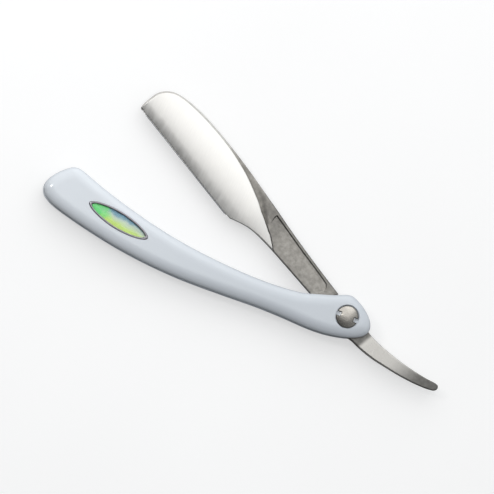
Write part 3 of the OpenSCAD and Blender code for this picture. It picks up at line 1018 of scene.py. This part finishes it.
def teeth(start_s):
    """Guard teeth along the cutting edge, from the tip back to start_s."""
    n = int((TIP[0] - start_s) / TOOTH_PITCH)
    out = []
    for i in range(n):
        for share, depth in ((0, 0), (0.42, 0), (0.54, 1), (0.88, 1)):
            back = (i + share) * TOOTH_PITCH
            out.append((TIP[0] - back, TIP[1] - back * EDGE_SLOPE + depth * TOOTH_DEPTH))
    return np.array(out)


def front_jaw_loop():
    crossing = smooth(CROSSING, 6) - [0, CROSS_GAP]
    return ccw(np.vstack([open_line(REAR_LEAF_TOP, 0.6), crossing[1:], open_line(RIM, 0.5)[1:],
                          teeth(HEEL[0]), open_line(NECK, 0.6)]))


def back_jaw_loop():
    crossing = smooth(CROSSING, 6)[::-1] + [0, CROSS_GAP]
    return ccw(np.vstack([open_line(SPINE, 0.5), teeth(66), open_line(REAR_JAW_HEEL, 0.6), crossing,
                          open_line(FRONT_LEAF_LOW, 0.6)]))


def crown(p):
    """Rounded face of the head, as height above the middle plane."""
    s, t = p[:, 0], p[:, 1]
    round_off = 0.006 + 0.014 * rise(s, 70, 102)
    return CROWN - (CROWN_R - np.sqrt(CROWN_R ** 2 - t ** 2)) - round_off * np.maximum(0, -t - 6.5) ** 2


def leaf_low(s):
    """Lower face of the back leaf: the shank's back, rising to the slit of the head."""
    return PACK_LO + (MID_Z + JAW_GAP - PACK_LO) * rise(s, CROSS_START, CROSS_END)


def jaw_outer(p):
    """Outer face of the front jaw's leaf: the back leaf's inner side, rising to the head's crown."""
    low = PACK_LO + LEAF_T
    return low + (MID_Z + crown(p) - low) * rise(p[:, 0], CROSS_START, CROWN_START)


def back_jaw_outer(p):
    return 2 * MID_Z - jaw_outer(p)


def cover_line(step):
    """Where the shank's front leaf ends beside the neck, from its tip to the crossing."""
    return evenly(np.vstack([smooth(FRONT_LEAF_LOW[:4], 8)[16::-1], CROSSING[0]]), step, closed=False)


def front_jaw_outer(p):
    """As jaw_outer, but the polished neck stands up beside the shank where no leaf covers it."""
    cover = cover_line(0.1)
    dist = np.sqrt(((p[:, None] - cover) ** 2).sum(2)).min(1)
    covered = (p[:, 0] < CROSSING[0][0]) & (p[:, 1] > t_of_line(p[:, 0], cover))
    bare = MID_Z + crown(p) - NECK_DROP * (1 - rise(p[:, 0], 44, 60))
    share = soft((p[:, 0] - 39.9) / 0.8) * rise(dist, 0, 0.2)
    plain = jaw_outer(p)
    return np.where(covered, plain, plain + (bare - plain) * share)


def beside_cover():
    """Rows of points along the line where the neck comes out from under the shank's front leaf."""
    cover = cover_line(0.2)
    along = np.gradient(cover, axis=0)
    across = np.c_[along[:, 1], -along[:, 0]] / np.hypot(*along.T)[:, None]
    return np.vstack([cover + across * d for d in (0.01, 0.05, 0.1, 0.15, 0.2, 0.3, 0.5)])


def guard_line(s):
    """Line of the guard's tooth tips."""
    return HEEL[1] + (s - HEEL[0]) * EDGE_SLOPE


def slot_depth(p):
    """How far a jaw's inner face stands back to leave room for the razor blade."""
    s, t = p[:, 0], p[:, 1]
    share = soft((s - SLOT_S + SLOT_RIM) / SLOT_STEP)
    share = share * soft((guard_line(s) + SLOT_DEPTH + SLOT_RIM - t) / SLOT_STEP)
    return (SLOT_GAP - JAW_GAP) * share


def slot_edges():
    """Rows of points on both sides of the step round the slot."""
    s = np.arange(SLOT_S - SLOT_RIM, TIP[0], 0.5)
    t = np.arange(HEEL[1], guard_line(SLOT_S) + SLOT_DEPTH, 0.5)
    rows = []
    for rim in (SLOT_RIM, SLOT_RIM - SLOT_STEP):
        rows.append(np.c_[s, guard_line(s) + SLOT_DEPTH + rim])
        rows.append(np.c_[np.full(len(t), SLOT_S - rim), t])
    return np.vstack(rows)


def jaw_inner(p):
    """The same face of the front jaw, with the slot for the razor blade."""
    return leaf_low(p[:, 0]) + slot_depth(p)


def front_jaw_finish(p):
    """Polish of the front jaw: its outer face is polished, its back is blasted as far as the head."""
    s, z = p[:, 0], p[:, 2]
    behind = z < (front_jaw_outer(p[:, :2]) + jaw_inner(p)) / 2
    return np.where(behind, rise(s, 46, 56), rise(s, 39, 41))


def edge_widths(loop, big, small):
    """Rounding along a jaw's loop: small on the guard teeth, big elsewhere."""
    above = loop[:, 1] - guard_line(loop[:, 0])
    return big + (small - big) * rise(above, 1.2, 0.4) * rise(loop[:, 0], 61, 64)


def outer_edge(loop):
    width = edge_widths(loop, JAW_EDGE, TOOTH_EDGE)
    return Edge(loop, width, width * EDGE_SHARE)


def front_jaw(material):
    loop = front_jaw_loop()
    top = Surface([outer_edge(loop)], front_jaw_outer, 0.8, reach=2,
                  features=[beside_cover(), grid_points((39, -8), (57, 1), 0.35)])
    low = Surface([Edge(loop, 0.08, 0.06)], jaw_inner, 1.2, reach=1, sign=-1, angles=FEW_ANGLES,
                  features=[slot_edges()])
    piece = plate(top, low).mesh("front_jaw_leaf", material, place_blade, front_jaw_finish)
    fit_out(piece, "front_jaw", "front_jaw")


def spine_line(s):
    """Line of the spine, along the shank and the head."""
    return t_of_line(s, smooth(SPINE[:9]))


def head_seam(s):
    """Line along which the head's front half ends beside the shank and the spine."""
    return t_of_line(s, np.vstack([CROSSING, RIM[1:9]]))


def shank_top(p):
    """Front face of the back jaw's leaf: flat on the shank with a sunk sloping panel, then a twist
    down to the slit of the head that starts later towards the spine."""
    s, t = p[:, 0], p[:, 1]
    spine = spine_line(s)
    near_spine = 1 - np.clip((spine - t) / (spine - head_seam(s)), 0, 1) ** 1.5
    start = CROSS_START + 1 + 3 * near_spine
    length = 10 + 9 * near_spine
    low = MID_Z - JAW_GAP
    z = PACK_HI + (low - PACK_HI) * soft((s - start) / length)
    floor = PANEL_DEPTH * np.clip((t + 3.6) / 6.4, 0, 1.2)
    floor = floor * soft((49.5 + 1.4 * (t + 1) - s) / 6)
    dist, _, _ = nearest(p, PANEL)
    signed = np.where(inside(p, PANEL), dist, -dist)
    return z - floor * rise(signed, -0.35, 0.25) - slot_depth(p)


def shank_polish_and_shade(p):
    """Polish and painted shade of the back jaw: its outer face is polished, its front blasted, with
    painted shade along the spine's flank, beside the head and over the twist, and lighter along the
    head's spine."""
    s, t, z = p[:, 0], p[:, 1], p[:, 2]
    from_spine = spine_line(s) - t
    # Painted shade: the flank, the strip beside the head's seam and the twist are darkened as if in
    # shade.
    flank = rise(from_spine, 1.7, 1.2) * rise(s, 66, 56)
    beside = rise(t - head_seam(s), 1.6, 0) * rise(s, 45, 49) * rise(s, 82, 74)
    lighter = 0.4 * rise(s, 76, 90)
    twist = 0.95 * rise(s, 38, 50) * rise(s, 69, 51) * (0.75 + 0.25 * rise(t, 1, 4))
    shade = np.maximum(twist, np.maximum(0.6 * flank, 0.85 * beside))
    # Values below 0 paint that shade on the blasted front.
    front = np.where(lighter > 0, lighter, -np.minimum(shade, 1))
    behind = z < (shank_top(p[:, :2]) + back_jaw_outer(p)) / 2
    return np.where(behind, 1, front)


def shank_flank(loop):
    """Rounding of the back jaw's front edges: a broad flank on the shank's spine side."""
    s, t = loop[:, 0], loop[:, 1]
    spine_side = (t > spine_line(s) - 0.3) & (s < 112)
    broad = rise(s, 76, 46) * rise(s, 8, 9)
    width = np.where(spine_side, 0.3 + 1.05 * broad, 0.22)
    height = np.where(spine_side, 0.25 + 0.5 * broad, 0.2)
    guard = edge_widths(loop, 1.0, 0.5)
    return width * guard, height * guard


def back_jaw(material):
    loop = back_jaw_loop()
    width, height = shank_flank(loop)
    panel = evenly(PANEL, 0.3)
    features = [panel + outward(panel) * d for d in PANEL_ROWS]
    features += [grid_points((44, -4), (62, 2.5), 0.4), slot_edges()]
    top = Surface([Edge(loop, width, height)], shank_top, 0.7, features=features, reach=1.4)
    low = Surface([outer_edge(loop)], back_jaw_outer, 0.8, reach=2, sign=-1)
    piece = plate(top, low).mesh("back_jaw_leaf", material, place_blade, shank_polish_and_shade)
    fit_out(piece, "back_jaw", "back_jaw")


def tail_half(s):
    """Half the thickness of the tang and tail, thinner towards the tail's end."""
    taper = np.clip((TAIL_FLAT_S - s) / 34, 0, 1)
    return (PACK_HI - PACK_LO) / 2 - 0.58 * taper - 0.75 * rise(s, -24, -50) ** 1.5


def tail_polish_and_shade(p):
    """Polish and painted shade of the tail: satin near the handle, blasted towards the tip with painted
    shade darkening it further there, and a painted shadow of the handle at the pivot.
    """
    s = p[:, 0]
    # Below 0 the number paints shade: towards the tip, and as the handle's shadow near the pivot.
    return 1.5 * rise(s, -47, -25) - 0.5 - 1.1 * soft((s + 13.2) / 1.6)


def tang(material):
    loop = ccw(evenly(smooth(TANG), 0.5))
    edges = [Edge(loop, 0.5, 0.4), Edge(circle(TANG_BORE_R), 0.05, hole=True)]
    top = Surface(edges, lambda p: MID_Z + tail_half(p[:, 0]), 0.7, reach=2)
    low = Surface(edges, lambda p: MID_Z - tail_half(p[:, 0]), 0.7, reach=2, sign=-1)
    piece = plate(top, low).mesh("tang_tail", material, place_blade, tail_polish_and_shade)
    fit_out(piece, "tang", "tang")


# -------- all together

BLAST, SATIN_BLAST = (0.37, 0.353, 0.325), (0.27, 0.262, 0.245)

make_camera()
make_studio()

plastic = plastic_material()
blasted = blade_unit_material("blasted_shank", (0.85, 0.84, 0.82), BLAST, 0.3)
head = blade_unit_material("polished_head", (0.82, 0.805, 0.775), SATIN_BLAST, 0.36)
tail = blade_unit_material("satin_tail", (0.62, 0.6, 0.565), SATIN_BLAST, 0.3)
screw = turned_material("turned_screw", (0.445, 0.42, 0.383), 0.25, 0.00012)
brass = turned_material("turned_brass", (0.72, 0.5, 0.22), 0.3, 0.0002)
pin = steel_material("ground_pin", (0.6, 0.6, 0.6), 0.25, 300, 0.0)
chrome = steel_material("chrome_rim", (0.3, 0.29, 0.31), 0.2, 200, 0.0, grain=0.03)
razor = steel_material("honed_blade", (0.7, 0.71, 0.73), 0.18, 260, OPEN_ANGLE)

badge = badge_frame()
scale_shell("front_scale", plastic, badge)
scale_shell("back_scale", plastic, badge)
spacer_block(plastic)
badge_pieces(badge, chrome, foil_material(badge), resin_material())
screw_head(screw)
nut_flange(screw)
tang(tail)
front_jaw(head)
back_jaw(blasted)

# The CAD nodes whose shape is right stay, and only get a better material.
for node, material in (("spacer_dowels", pin), ("stop_pin", pin), ("spring_washer", pin),
                       ("front_washer", brass), ("back_washer", brass), ("tang_bush", brass),
                       ("razor_blade", razor)):
    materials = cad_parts[node].data.materials
    materials.clear()
    materials.append(material)
